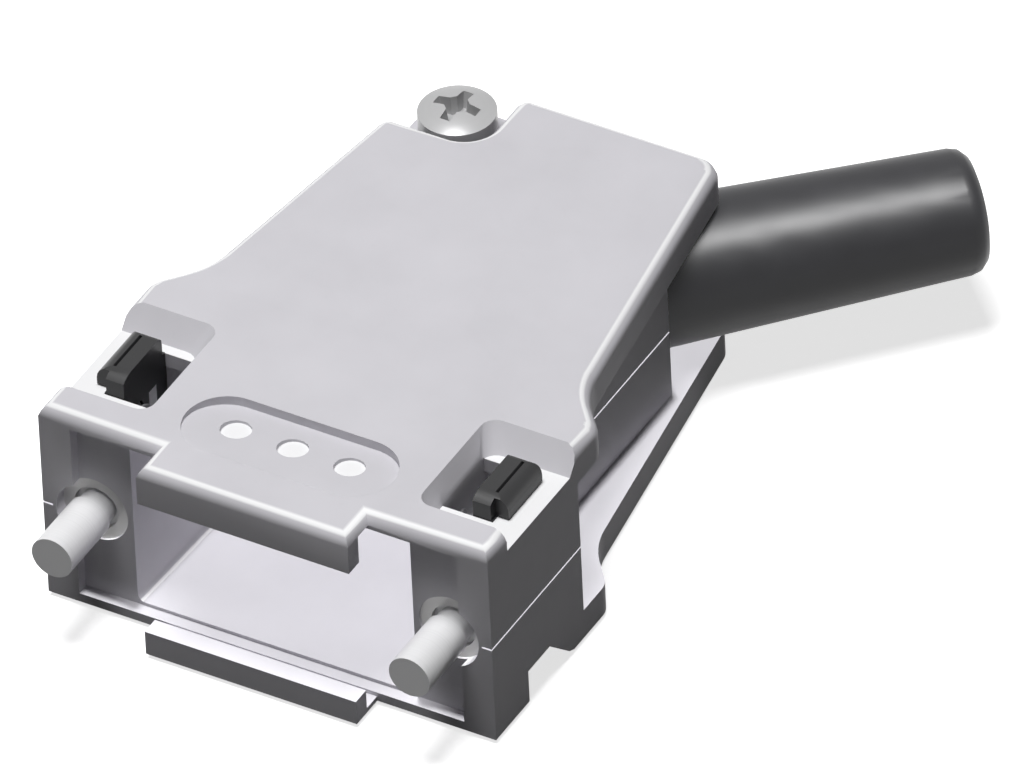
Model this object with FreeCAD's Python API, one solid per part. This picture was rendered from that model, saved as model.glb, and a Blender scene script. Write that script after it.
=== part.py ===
"""9-way D-sub metal hood with a 45 degree cable exit and two push-button pin latches.

Frame: X to the right, Y from the connector face to the back, Z up, millimetres.
The parting plane of the two shells is z = 0, and Y = 0 is the front face.
"""
import FreeCAD, Part
import math
import os

V = FreeCAD.Vector

# Outline of the two shells; the front blocks' sides stand at a fixed distance outside the lock pins
PIN_X = 12.495
PIN_SIDE = 3.205
HALF_WIDTH = PIN_X + PIN_SIDE
SIDE_END_Y = 13.8
WAIST_X = 13.3
WAIST_Y = 16.65
TAIL_X = 10.05
BACK_Y = 39.6
WAIST_R_OUT = 1.6
WAIST_R_IN = 5.5
TAIL_R = 1.8
HALF_HEIGHT = 7.6
EDGE_R = 1.05
UNDERSIDE_Z = 7.4
UNDERSIDE_CUT = 0.3

# Core between the wings
WING_Z = 5.0
CORE_X = 10.43
BLOCK_BACK_Y = 11.0
EXIT_CORNER = 2.26
EXIT_SUM = BACK_Y + EXIT_CORNER
WALL = 1.5
CAVITY_Z = 6.2
CORNER_CUT = 2.5
OPENING_OVERLAP = 0.5
OPENING_Y = 9.6
BEYOND_X = 30.0
BEYOND_Y = 60.0
FOOT_R = 0.5
PARTING_GAP = 0.12
PARTING_DEPTH = 0.7

# Front
OPENING_X = 9.8
OPENING_BACK_X = 9.42
RECESS_X = 13.5
RECESS_Z = 6.45
RECESS_DEPTH = 0.8
TAB_X = 7.4
TAB_OUT = 2.5
LIP_T = 1.25
TOP_LIP_Z = 4.75
BOTTOM_LIP_Z = 5.35
TAB_GROOVE_Z = 6.75

# Lock pins, 4-40 size
PIN_R = 1.42
PIN_OUT = 4.47
NECK_R = 1.2
NECK_START = 0.1
NECK_END = 1.3
BODY_R = 1.5
RUN_CLEAR = 0.03
GROOVE_R = 1.0
GROOVE_Y = 7.5
GROOVE_W = 1.1
PIN_BACK_Y = 10.6
SLOT_W = 0.5
SLOT_D = 0.7

# Bush
BUSH_R = 2.3
BUSH_FLANGE_R = 2.75
BUSH_FLANGE_Y = 2.7
BUSH_END_Y = 3.7
BUSH_OVERLAP = 0.1
BUSH_FACE_Y = RECESS_DEPTH + 0.15

# Corner pockets and their slots
POCKET_X = 9.37
POCKET_FOOT_X = 10.1
POCKET_Y0 = 2.39
POCKET_Y1 = 10.1
POCKET_RAMP_Y = 11.45
POCKET_Z = 6.07
POCKET_R = 1.0
POCKET_STEPS = 5
POCKET_OVER = 0.6
SLOT_X1 = 13.6
SLOT_Y0 = 4.33
SLOT_Y1 = 9.4
CHAMBER_X1 = 14.95
CHAMBER_Y0 = 3.9
CHAMBER_Y1 = 9.8
CHAMBER_TOP = 5.05
CHAMBER_BOTTOM = -2.0
LOW_POCKET_X = 12.6
LOW_POCKET_Z = 4.75
LOW_POCKET_Y0 = 4.15
LOW_POCKET_Y1 = 6.8
LOW_POCKET_Y2 = 9.1
LOW_POCKET_Z2 = 6.85
LOW_POCKET_Y3 = 10.4

# Buttons
SLIDE_CLEAR = 0.05
STOP_CLEAR = 0.03
KNOB_X0 = 12.2
KNOB_X1 = 14.4
KNOB_STEP_X = 13.45
KNOB_STEP_Y = 4.9
KNOB_Y1 = 9.05
KNOB_TOP = 7.62
KNOB_LIFT = 0.1
KNOB_SIDE_R = 0.95
KNOB_BROW_Z = 7.25
KNOB_BROW_Y = 5.5
KNOB_BACK_R = 0.45
KNOB_STEPS = 5
V_X = 13.37
V_W = 0.11
V_D = 0.2
V_Y0 = 5.35
V_END = 0.45
STEM_ROOT = 0.5
FOOT_X0 = 12.42
FOOT_X1 = 14.85
FOOT_BOTTOM = 2.4
SPRING_Y = 5.95
SPRING_Z = 3.72
SPRING_R = 0.72
SPRING_WIRE = 0.11
SPRING_BORE_R = 0.95
SPRING_SEAT_X = 14.2
SPRING_TURNS = 5
SPRING_CHORDS = 8
SPRING_SIDES = 4

# Latch plates
PLATE_T = 0.9
PLATE_LIFT = 0.05
PLATE_X0 = 12.42
PLATE_X1 = 13.15
PLATE_HEAD_X1 = 14.2
PLATE_HEAD_TOP = 4.3
PLATE_ROOT = 0.2

# Stadium field and dimples on the cover
FIELD_HALF = 7.25
FIELD_R = 2.75
FIELD_Y = 3.5
FIELD_MARGIN = 0.1
FIELD_DEPTH = 0.68
DIMPLE_R = 1.0
DIMPLE_Y = 3.8
DIMPLE_PITCH = 3.97
DIMPLE_DEPTH = 0.3
DIMPLE_SIDES = 24

# Cover screw, M2.5
SCREW_X = -7.2
SCREW_INSET = 2.85
SCREW_Y = BACK_Y - SCREW_INSET
SCREW_R = 1.25
SCREW_CLEAR = 0.1
SCREW_HEAD_R = 2.48
SCREW_RIM_H = 1.2
SCREW_HEAD_H = 1.75
SCREW_SEAT_Z = 6.0
SCREW_TIP_Z = -4.4
SCREW_POINT = 0.3
SCREW_STEPS = 3
SEAT_PAD_R = 2.2
NOTCH_X = SCREW_X + 2.97
NOTCH_Y = SCREW_Y - 2.6
NOTCH_R = 2.0
NOTCH_FLARE_R = 0.9
NOTCH_WALL = 0.9
NOTCH_SKIN = 0.8
BOSS_R = 2.5
SKIN = 1.2
CROSS_W = 0.75
CROSS_L = 2.7
CROSS_D = 1.2

# Cable exit, axis at 45 degrees
EXIT_X = 6.38
EXIT_LAND = 0.16
EXIT_Y = EXIT_SUM - EXIT_X - EXIT_LAND
BOOT_ROOT_R = 4.62
BOOT_TIP_R = 4.0
BOOT_LENGTH = 21.25
BOOT_TIP_ROUND = 1.2
BOOT_STEPS = 3
BOOT_BORE_R = 2.75
BOOT_NECK_R = 3.4
BOOT_COLLAR_R = 4.0
EXIT_WALL = 1.5
COLLAR_T = 1.3
FERRULE_R = 2.75
FERRULE_BORE_R = 2.2
FERRULE_FLANGE_R = 4.0
FERRULE_FLANGE_T = 0.8
FERRULE_LENGTH = 6.2
SLEEVE_R = 3.2
SLEEVE_START = 3.9
SLEEVE_END = 8.6

# Cable clamp
CLAMP_FROM = 4.2
CLAMP_TO = 8.2
CLAMP_SCREW_OFFSET = 4.9
CLAMP_EDGE = 1.3
CLAMP_HALF = CLAMP_SCREW_OFFSET + CLAMP_EDGE
CLAMP_LOW_H = 3.4
CLAMP_UP_H = 4.0
CLAMP_GAP = 0.5
CLAMP_SCREW_R = 1.0
CLAMP_HEAD_R = 1.65
CLAMP_HEAD_H = 1.3
CLAMP_TIP_Z = -5.4
CLAMP_CLEAR = 0.05
PAD_ROOT = 0.4

S45 = math.sqrt(0.5)
SIDES = (("left", -1.0), ("right", 1.0))


def box(x0, x1, y0, y1, z0, z1):
    return Part.makeBox(x1 - x0, y1 - y0, z1 - z0, V(x0, y0, z0))


def sided(side, x0, x1, y0, y1, z0, z1):
    """A box given for the right-hand side, mirrored for the left one."""
    if side > 0:
        return box(x0, x1, y0, y1, z0, z1)
    return box(-x1, -x0, y0, y1, z0, z1)


def rod(radius, y0, y1, x, z):
    """A cylinder along Y."""
    return Part.makeCylinder(radius, y1 - y0, V(x, y0, z), V(0, 1, 0))


def mirrored(shape, side):
    if side > 0:
        return shape
    return shape.mirror(V(0, 0, 0), V(1, 0, 0))


def prism(points, z0, z1):
    """Upright prism on a closed outline with straight sides."""
    return extruded([V(x, y, z0) for x, y in points], V(0, 0, z1 - z0))


def extruded(points, reach):
    """A closed outline of points swept along a straight line."""
    return Part.Face(Part.makePolygon(points + points[:1])).extrude(reach)


def upright_edges(shape, spots, reach=0.3):
    """The vertical edges that stand near the given plan positions."""
    found = []
    for edge in shape.Edges:
        low = edge.BoundBox
        if low.XLength > 0.01 or low.YLength > 0.01 or low.ZLength < 0.5:
            continue
        middle = low.Center
        for x, y in spots:
            if math.hypot(middle.x - x, middle.y - y) < reach:
                found.append(edge)
                break
    return found


def outline_solid(z0, z1):
    """The plan outline shared by both shells, with its waist and tail corners rounded."""
    half = [(HALF_WIDTH, 0.0), (HALF_WIDTH, SIDE_END_Y), (WAIST_X, WAIST_Y), (TAIL_X, BACK_Y)]
    tab = [(TAB_X, -TAB_OUT), (TAB_X, 0.0)]
    right = tab + half
    left = [(-x, y) for x, y in reversed(right)]
    solid = prism(right + left, z0, z1)
    for spot, radius in ((half[1], WAIST_R_OUT), (half[2], WAIST_R_IN), (half[3], TAIL_R)):
        spots = [spot, (-spot[0], spot[1])]
        solid = solid.makeFillet(radius, upright_edges(solid, spots))
    return solid


def level_edges(shape, z):
    """Every edge that lies flat at the given height."""
    edges = []
    for edge in shape.Edges:
        low = edge.BoundBox
        if abs(low.ZMin - z) < 0.01 and abs(low.ZMax - z) < 0.01:
            edges.append(edge)
    return edges


def core_column(low, high):
    """The left rear part of the outline inside the core's side wall."""
    return outline_solid(low, high).common(box(-CORE_X, CORE_X, BLOCK_BACK_Y, BEYOND_Y, low, high))


def cavity_plan():
    """Plan of the space inside the core walls, with the corner at the exit cut at 45 degrees."""
    side = CORE_X - WALL
    back = BACK_Y - WALL
    cut = EXIT_SUM - EXIT_WALL / S45
    front = OPENING_Y - OPENING_OVERLAP
    return [(-side, front), (side, front), (side, cut - side), (cut - back, back),
            (-side + CORNER_CUT, back), (-side, back - CORNER_CUT)]


def front_opening(low, high, foot):
    """The mouth for the connector insert: its sides draw in, and the corners along its floor are rounded."""
    front = (LIP_T - TAB_OUT) / 2.0
    plan = [(-OPENING_X, front), (OPENING_X, front), (OPENING_X, RECESS_DEPTH), (OPENING_BACK_X, OPENING_Y),
            (-OPENING_BACK_X, OPENING_Y), (-OPENING_X, RECESS_DEPTH)]
    mouth = prism(plan, low, high)
    edges = []
    for edge in mouth.Edges:
        spot = edge.BoundBox
        level = abs(spot.ZMin - foot) < 0.01 and spot.ZLength < 0.01
        if level and spot.YLength > 1.0 and spot.XLength < 1.0:
            edges.append(edge)
    return mouth.makeFillet(FOOT_R, edges)


def blank(sign):
    """One shell before the details that only it has; sign is +1 for the top half."""
    if sign > 0:
        shell = outline_solid(0.0, WING_Z).fuse(cover_plate())
    else:
        shell = outline_solid(-UNDERSIDE_Z, 0.0)
        shell = shell.makeChamfer(UNDERSIDE_CUT, level_edges(shell, -UNDERSIDE_Z))
    low, high = (0.0, WING_Z) if sign > 0 else (-WING_Z, 0.0)
    right = prism([(CORE_X, BLOCK_BACK_Y), (BEYOND_X, BLOCK_BACK_Y), (BEYOND_X, BEYOND_Y),
                   (EXIT_SUM - BEYOND_Y, BEYOND_Y), (CORE_X, EXIT_SUM - CORE_X)], low, high)
    left = box(-BEYOND_X, -CORE_X, BLOCK_BACK_Y, BEYOND_Y, low, high)
    shell = shell.cut(right).cut(left)
    low, high = (0.0, CAVITY_Z) if sign > 0 else (-CAVITY_Z, 0.0)
    space = prism(cavity_plan(), low, high)
    if sign > 0:
        space = space.cut(box(-BEYOND_X, NOTCH_X + NOTCH_WALL, NOTCH_Y - NOTCH_WALL, BEYOND_Y,
                              WING_Z - NOTCH_SKIN, HALF_HEIGHT))
    shell = shell.cut(space)
    shell = shell.cut(front_opening(low, high, sign * CAVITY_Z))
    shell = shell.cut(tab_space(sign))
    low, high = (0.0, RECESS_Z) if sign > 0 else (-RECESS_Z, 0.0)
    shell = shell.cut(box(-RECESS_X, RECESS_X, 0.0, RECESS_DEPTH, low, high))
    half_gap = PARTING_GAP / 2.0
    low, high = (0.0, half_gap) if sign > 0 else (-half_gap, 0.0)
    for side in (-1.0, 1.0):
        shell = shell.cut(sided(side, HALF_WIDTH - PARTING_DEPTH, BEYOND_X, -1.0, BLOCK_BACK_Y + 1.0,
                                low, high))
        shell = shell.cut(sided(side, CORE_X - PARTING_DEPTH, BEYOND_X, BLOCK_BACK_Y, BACK_Y + 1.0,
                                low, high))
    return shell


def tab_space(sign):
    """What is cut from under a front tab: the space below its lip and the groove behind the lip."""
    lip = TOP_LIP_Z if sign > 0 else BOTTOM_LIP_Z
    points = [(-TAB_OUT - 1.0, 0.0), (-TAB_OUT - 1.0, lip), (-TAB_OUT + LIP_T, lip),
              (-TAB_OUT + LIP_T, TAB_GROOVE_Z), (0.0, TAB_GROOVE_Z), (0.0, 0.0)]
    return extruded([V(-TAB_X - 1.0, y, sign * z) for y, z in points], V(2.0 * TAB_X + 2.0, 0, 0))


def pin_seats(shell):
    """Bores for the bushes and the pins' back ends, and the chamber of the latch."""
    for name, side in SIDES:
        x = side * PIN_X
        shell = shell.cut(rod(BUSH_R, -1.0, BUSH_END_Y, x, 0.0))
        shell = shell.cut(rod(BUSH_FLANGE_R, BUSH_FLANGE_Y, BUSH_END_Y, x, 0.0))
        shell = shell.cut(rod(BODY_R + RUN_CLEAR, BUSH_END_Y - BUSH_OVERLAP, BLOCK_BACK_Y + 1.0, x, 0.0))
        shell = shell.cut(sided(side, POCKET_FOOT_X, CHAMBER_X1, CHAMBER_Y0, CHAMBER_Y1, CHAMBER_BOTTOM,
                                CHAMBER_TOP))
    return shell


def exit_axis(radius, start, end):
    """A cylinder along the cable exit; distances run outward from the exit point."""
    base = V(EXIT_X + S45 * start, EXIT_Y + S45 * start, 0)
    return Part.makeCylinder(radius, end - start, base, V(S45, S45, 0))


EXIT_FACE = (EXIT_SUM - EXIT_X - EXIT_Y) * S45
COLLAR_END = EXIT_FACE - EXIT_WALL
COLLAR_START = COLLAR_END - COLLAR_T
FLANGE_START = COLLAR_START - FERRULE_FLANGE_T


def exit_seats(shell):
    return shell.cut(exit_axis(BOOT_NECK_R, COLLAR_START, EXIT_FACE + 3.0))


def exit_frame(shape):
    """Moves a shape drawn with its Y axis inward along the exit to its real place."""
    placed = shape.copy()
    placed.rotate(V(0, 0, 0), V(0, 0, 1), 135.0)
    placed.translate(V(EXIT_X, EXIT_Y, 0))
    return placed


def clamp_pad():
    """The raised block of the bottom shell that carries the clamp."""
    pad = box(-CLAMP_HALF, CLAMP_HALF, CLAMP_FROM, CLAMP_TO, -CAVITY_Z - PAD_ROOT, -CLAMP_LOW_H)
    return exit_frame(pad)


def cover_plate():
    """The plate of the cover, notched at the screw, with all its upper rims rounded."""
    plate = outline_solid(WING_Z, HALF_HEIGHT)
    notch = box(-BEYOND_X, NOTCH_X, NOTCH_Y, BEYOND_Y, WING_Z, HALF_HEIGHT)
    notch = notch.makeFillet(NOTCH_R, upright_edges(notch, [(NOTCH_X, NOTCH_Y)]))
    plate = plate.cut(notch)
    along = (BACK_Y - NOTCH_Y) / (BACK_Y - WAIST_Y)
    left_end = (-TAIL_X - (WAIST_X - TAIL_X) * along, NOTCH_Y)
    ends = upright_edges(plate, [left_end, (NOTCH_X, BACK_Y)])
    plate = plate.makeFillet(NOTCH_FLARE_R, ends)
    half_turn = math.tan(math.pi / 8.0)
    quarter_turn = math.tan(math.pi / 16.0)
    first = EDGE_R * (1.0 - half_turn)
    plate = plate.makeChamfer(first, level_edges(plate, HALF_HEIGHT))
    rims = level_edges(plate, HALF_HEIGHT) + level_edges(plate, HALF_HEIGHT - first)
    return plate.makeChamfer(EDGE_R * (half_turn - quarter_turn), rims)


def pocket_wire(z):
    """The pocket's plan at one height: open to the side, its inner and back walls drawn outward upward."""
    rise = (z - POCKET_Z) / (HALF_HEIGHT - POCKET_Z)
    inner = POCKET_FOOT_X + (POCKET_X - POCKET_FOOT_X) * rise
    back = POCKET_Y1 + (POCKET_RAMP_Y - POCKET_Y1) * rise
    outer = HALF_WIDTH + 2.0
    plan = [(outer, POCKET_Y0), (outer, back)]
    plan += arc_points((inner + POCKET_R, back - POCKET_R), POCKET_R, 90.0, 180.0, POCKET_STEPS)
    plan += arc_points((inner + POCKET_R, POCKET_Y0 + POCKET_R), POCKET_R, 180.0, 270.0, POCKET_STEPS)
    return Part.makePolygon([V(x, y, z) for x, y in plan + plan[:1]])


def pocket(side):
    """A corner pocket, open to the side, with sloped inner and back walls."""
    solid = Part.makeLoft([pocket_wire(POCKET_Z), pocket_wire(HALF_HEIGHT + POCKET_OVER)], True, True)
    return mirrored(solid, side)


def field():
    """The stadium field on the cover, deepest at its back and running out at the front."""
    straight = FIELD_HALF - FIELD_R
    top = HALF_HEIGHT + 1.0
    body = box(-straight, straight, FIELD_Y - FIELD_R, FIELD_Y + FIELD_R, HALF_HEIGHT - 1.0, top)
    for side in (-1.0, 1.0):
        end = V(side * straight, FIELD_Y, HALF_HEIGHT - 1.0)
        body = body.fuse(Part.makeCylinder(FIELD_R, top - HALF_HEIGHT + 1.0, end))
    front = FIELD_Y - FIELD_R - FIELD_MARGIN
    back = FIELD_Y + FIELD_R + FIELD_MARGIN
    profile = [(front, HALF_HEIGHT), (back, HALF_HEIGHT - FIELD_DEPTH), (back, top), (front, top)]
    wedge = extruded([V(-HALF_WIDTH, y, z) for y, z in profile], V(2.0 * HALF_WIDTH, 0, 0))
    return body.common(wedge)


def make_top():
    shell = blank(1.0)
    boss = Part.makeCylinder(BOSS_R, WING_Z, V(SCREW_X, SCREW_Y, 0))
    shell = shell.fuse(boss.common(core_column(0.0, WING_Z)))
    pad_z = WING_Z - NOTCH_SKIN / 2.0
    shell = shell.fuse(Part.makeCylinder(SEAT_PAD_R, SCREW_SEAT_Z - pad_z, V(SCREW_X, SCREW_Y, pad_z)))
    shell = pin_seats(shell)
    shell = exit_seats(shell)
    shell = shell.cut(Part.makeCylinder(SCREW_R + SCREW_CLEAR, HALF_HEIGHT + 2.0, V(SCREW_X, SCREW_Y, -1.0)))
    for name, side in SIDES:
        shell = shell.cut(pocket(side))
        shell = shell.cut(sided(side, POCKET_FOOT_X, SLOT_X1, SLOT_Y0, SLOT_Y1, CHAMBER_TOP - 1.0,
                                POCKET_Z + 1.0))
    shell = shell.cut(field())
    slope = FIELD_DEPTH / (2.0 * (FIELD_R + FIELD_MARGIN))
    level = HALF_HEIGHT - slope * (DIMPLE_Y - FIELD_Y + FIELD_R + FIELD_MARGIN)
    for step in (-1.0, 0.0, 1.0):
        rim = arc_points((step * DIMPLE_PITCH, DIMPLE_Y), DIMPLE_R, 0.0, 360.0, DIMPLE_SIDES)
        shell = shell.cut(prism(rim[:-1], level - DIMPLE_DEPTH, HALF_HEIGHT + 1.0))
    return shell.removeSplitter()


def make_bottom():
    shell = blank(-1.0)
    boss = Part.makeCylinder(BOSS_R, UNDERSIDE_Z - SKIN, V(SCREW_X, SCREW_Y, SKIN - UNDERSIDE_Z))
    shell = shell.fuse(boss.common(core_column(SKIN - UNDERSIDE_Z, 0.0)))
    shell = shell.fuse(clamp_pad())
    shell = pin_seats(shell)
    shell = exit_seats(shell)
    shell = shell.cut(Part.makeCylinder(SCREW_R, -SCREW_TIP_Z + 1.0, V(SCREW_X, SCREW_Y, SCREW_TIP_Z - 0.4)))
    for offset in (-CLAMP_SCREW_OFFSET, CLAMP_SCREW_OFFSET):
        middle = (CLAMP_FROM + CLAMP_TO) / 2.0
        hole = Part.makeCylinder(CLAMP_SCREW_R, -CLAMP_TIP_Z, V(offset, middle, CLAMP_TIP_Z))
        shell = shell.cut(exit_frame(hole))
    profile = [(LOW_POCKET_Y0, -UNDERSIDE_Z - 1.0), (LOW_POCKET_Y0, -LOW_POCKET_Z),
               (LOW_POCKET_Y1, -LOW_POCKET_Z), (LOW_POCKET_Y2, -LOW_POCKET_Z2),
               (LOW_POCKET_Y3, -UNDERSIDE_Z), (LOW_POCKET_Y3, -UNDERSIDE_Z - 1.0)]
    for name, side in SIDES:
        notch = extruded([V(LOW_POCKET_X, y, z) for y, z in profile],
                         V(HALF_WIDTH + 2.0 - LOW_POCKET_X, 0, 0))
        shell = shell.cut(mirrored(notch, side))
    return shell.removeSplitter()


def make_pin(side):
    x = side * PIN_X
    pin = rod(PIN_R, -PIN_OUT, NECK_START, x, 0.0)
    pin = pin.fuse(rod(NECK_R, NECK_START, NECK_END, x, 0.0))
    pin = pin.fuse(rod(BODY_R, NECK_END, PIN_BACK_Y, x, 0.0))
    ring = rod(BODY_R + 1.0, GROOVE_Y, GROOVE_Y + GROOVE_W, x, 0.0)
    ring = ring.cut(rod(GROOVE_R, GROOVE_Y, GROOVE_Y + GROOVE_W, x, 0.0))
    pin = pin.cut(ring)
    pin = pin.cut(box(x - SLOT_W / 2.0, x + SLOT_W / 2.0, PIN_BACK_Y - SLOT_D, PIN_BACK_Y + 1.0, -3.0, 3.0))
    return pin.removeSplitter()


def make_bush(side):
    x = side * PIN_X
    bush = rod(BUSH_R, BUSH_FACE_Y, BUSH_FLANGE_Y, x, 0.0)
    bush = bush.fuse(rod(BUSH_FLANGE_R, BUSH_FLANGE_Y, BUSH_END_Y, x, 0.0))
    bush = bush.cut(rod(BODY_R + RUN_CLEAR, RECESS_DEPTH - 1.0, BUSH_END_Y + 1.0, x, 0.0))
    return bush.removeSplitter()


def make_button(side):
    """Knob, stem and foot; drawn for the right-hand side."""
    front = SLOT_Y0 + SLIDE_CLEAR
    base = POCKET_Z + KNOB_LIFT
    knob = prism([(KNOB_X0, front), (KNOB_STEP_X, front), (KNOB_STEP_X, KNOB_STEP_Y), (KNOB_X1, KNOB_STEP_Y),
                  (KNOB_X1, KNOB_Y1), (KNOB_X0, KNOB_Y1)], base, KNOB_TOP)
    centre = (KNOB_X1 - KNOB_SIDE_R, KNOB_TOP - KNOB_SIDE_R)
    side_arc = arc_points(centre, KNOB_SIDE_R, 0.0, 90.0, KNOB_STEPS)
    corners = [(KNOB_X0, base), (KNOB_X1, base)] + side_arc + [(KNOB_X0, KNOB_TOP)]
    across = [V(x, front, z) for x, z in corners]
    knob = knob.common(extruded(across, V(0, KNOB_Y1 - front, 0)))
    drop = KNOB_TOP - KNOB_BROW_Z
    run = KNOB_BROW_Y - front
    brow_r = (run ** 2 + drop ** 2) / (2.0 * drop)
    spread = math.degrees(math.asin(run / brow_r))
    brow = arc_points((KNOB_BROW_Y, KNOB_TOP - brow_r), brow_r, 90.0, 90.0 + spread, KNOB_STEPS)
    centre = (KNOB_Y1 - KNOB_BACK_R, KNOB_TOP - KNOB_BACK_R)
    back_arc = arc_points(centre, KNOB_BACK_R, 0.0, 90.0, KNOB_STEPS)
    along = [V(KNOB_X0, y, z) for y, z in [(front, base), (KNOB_Y1, base)] + back_arc + brow]
    knob = knob.common(extruded(along, V(KNOB_X1 - KNOB_X0, 0, 0)))
    profile = [(V_X - V_W, KNOB_TOP), (V_X, KNOB_TOP - V_D), (V_X + V_W, KNOB_TOP), (V_X, KNOB_TOP + V_D)]
    knob = knob.cut(extruded([V(x, V_Y0, z) for x, z in profile], V(0, KNOB_Y1 - V_Y0 - V_END, 0)))
    stem = box(KNOB_X0, SLOT_X1 - STOP_CLEAR, front, SLOT_Y1 - SLIDE_CLEAR, CHAMBER_TOP - STEM_ROOT, base)
    foot = box(FOOT_X0, FOOT_X1, CHAMBER_Y0 + SLIDE_CLEAR, CHAMBER_Y1 - SLIDE_CLEAR, FOOT_BOTTOM,
               CHAMBER_TOP - SLIDE_CLEAR)
    body = knob.fuse([stem, foot])
    bore = Part.makeCylinder(SPRING_BORE_R, SPRING_SEAT_X - FOOT_X0 + 1.0,
                             V(FOOT_X0 - 1.0, SPRING_Y, SPRING_Z), V(1, 0, 0))
    body = body.cut(bore)
    plate_y = GROOVE_Y + (GROOVE_W - PLATE_T) / 2.0
    body = body.cut(box(FOOT_X0 - 1.0, PLATE_HEAD_X1, plate_y, plate_y + PLATE_T, FOOT_BOTTOM - 1.0,
                        PLATE_HEAD_TOP))
    return mirrored(body.removeSplitter(), side)


def make_plate(side):
    """The tongue that sits in the pin's groove, with a wider head pressed into the button's foot."""
    plate_y = GROOVE_Y + (GROOVE_W - PLATE_T) / 2.0
    head = box(FOOT_X0, PLATE_HEAD_X1, plate_y, plate_y + PLATE_T, FOOT_BOTTOM, PLATE_HEAD_TOP)
    tongue = box(PLATE_X0, PLATE_X1, plate_y, plate_y + PLATE_T, GROOVE_R + PLATE_LIFT,
                 FOOT_BOTTOM + PLATE_ROOT)
    plate = head.fuse(tongue).removeSplitter()
    return mirrored(plate, side)


def make_spring(side):
    """Compression spring along X from the chamber wall to the bottom of the foot's bore."""
    rise = SPRING_SEAT_X - POCKET_FOOT_X - 2.0 * SPRING_WIRE
    steps = SPRING_TURNS * SPRING_CHORDS
    path = []
    for step in range(steps + 1):
        angle = 2.0 * math.pi * step / SPRING_CHORDS
        x = POCKET_FOOT_X + SPRING_WIRE + rise * step / steps
        path.append(V(x, SPRING_Y + SPRING_R * math.cos(angle), SPRING_Z + SPRING_R * math.sin(angle)))
    start = path[0]
    corners = []
    for index in range(SPRING_SIDES + 1):
        turn = 2.0 * math.pi * index / SPRING_SIDES
        corners.append(start + V(SPRING_WIRE * math.cos(turn), SPRING_WIRE * math.sin(turn), 0))
    section = Part.makePolygon(corners)
    coil = Part.makePolygon(path).makePipeShell([section], True, False, 1)
    return mirrored(coil, side)


def revolved(profile, base, axis):
    """A full turn of a closed profile given as (radius, height) points."""
    wire = Part.makePolygon([V(r, 0, z) for r, z in profile + profile[:1]])
    solid = Part.Face(wire).revolve(V(0, 0, 0), V(0, 0, 1), 360)
    solid.Placement = FreeCAD.Placement(base, FreeCAD.Rotation(V(0, 0, 1), axis))
    return solid


def arc_points(centre, radius, start, end, steps):
    """Points on an arc in the profile plane, angles in degrees."""
    points = []
    for step in range(steps + 1):
        angle = math.radians(start + (end - start) * step / steps)
        points.append((centre[0] + radius * math.cos(angle), centre[1] + radius * math.sin(angle)))
    return points


def make_cover_screw():
    """Pan head screw with a cross recess, drawn from its tip upward."""
    seat = SCREW_SEAT_Z - SCREW_TIP_Z
    rise = SCREW_HEAD_H - SCREW_RIM_H
    dome_r = (SCREW_HEAD_R ** 2 + rise ** 2) / (2.0 * rise)
    half = math.degrees(math.asin(SCREW_HEAD_R / dome_r))
    top = seat + SCREW_HEAD_H
    dome = arc_points((0.0, top - dome_r), dome_r, 90.0 - half, 90.0, SCREW_STEPS)
    profile = [(0.0, 0.0), (SCREW_R - SCREW_POINT, 0.0), (SCREW_R, SCREW_POINT), (SCREW_R, seat),
               (SCREW_HEAD_R, seat)]
    profile += dome[:-1] + [(0.0, top)]
    screw = revolved(profile, V(SCREW_X, SCREW_Y, SCREW_TIP_Z), V(0, 0, 1))
    level = SCREW_SEAT_Z + SCREW_HEAD_H
    for half_x, half_y in ((CROSS_L / 2.0, CROSS_W / 2.0), (CROSS_W / 2.0, CROSS_L / 2.0)):
        screw = screw.cut(box(SCREW_X - half_x, SCREW_X + half_x, SCREW_Y - half_y, SCREW_Y + half_y,
                              level - CROSS_D, level + 1.0))
    return screw.removeSplitter()


def make_boot():
    """Tapered boot with a neck in the shells' bore and a collar behind the wall."""
    base = V(EXIT_X + S45 * COLLAR_START, EXIT_Y + S45 * COLLAR_START, 0)
    neck = COLLAR_T
    face = neck + EXIT_WALL
    tip = face + BOOT_LENGTH
    shoulder = BOOT_TIP_R - BOOT_TIP_ROUND
    rounding = arc_points((shoulder, tip - BOOT_TIP_ROUND), BOOT_TIP_ROUND, 0.0, 90.0, BOOT_STEPS)
    profile = [(BOOT_BORE_R, 0.0), (BOOT_COLLAR_R, 0.0), (BOOT_COLLAR_R, neck), (BOOT_NECK_R, neck),
               (BOOT_NECK_R, face), (BOOT_ROOT_R, face)]
    profile += rounding[:-1] + [(shoulder, tip), (BOOT_BORE_R, tip)]
    return revolved(profile, base, V(S45, S45, 0))


def make_ferrule():
    tube = exit_axis(FERRULE_R, FLANGE_START - FERRULE_LENGTH, FLANGE_START)
    ferrule = tube.fuse(exit_axis(FERRULE_FLANGE_R, FLANGE_START, COLLAR_START))
    ferrule = ferrule.cut(exit_axis(FERRULE_BORE_R, FLANGE_START - FERRULE_LENGTH - 1.0, COLLAR_START + 1.0))
    return ferrule.removeSplitter()


def make_sleeve():
    sleeve = exit_axis(SLEEVE_R, -SLEEVE_END, FLANGE_START)
    return sleeve.cut(exit_axis(FERRULE_R, -SLEEVE_END - 1.0, FLANGE_START + 1.0))


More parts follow.
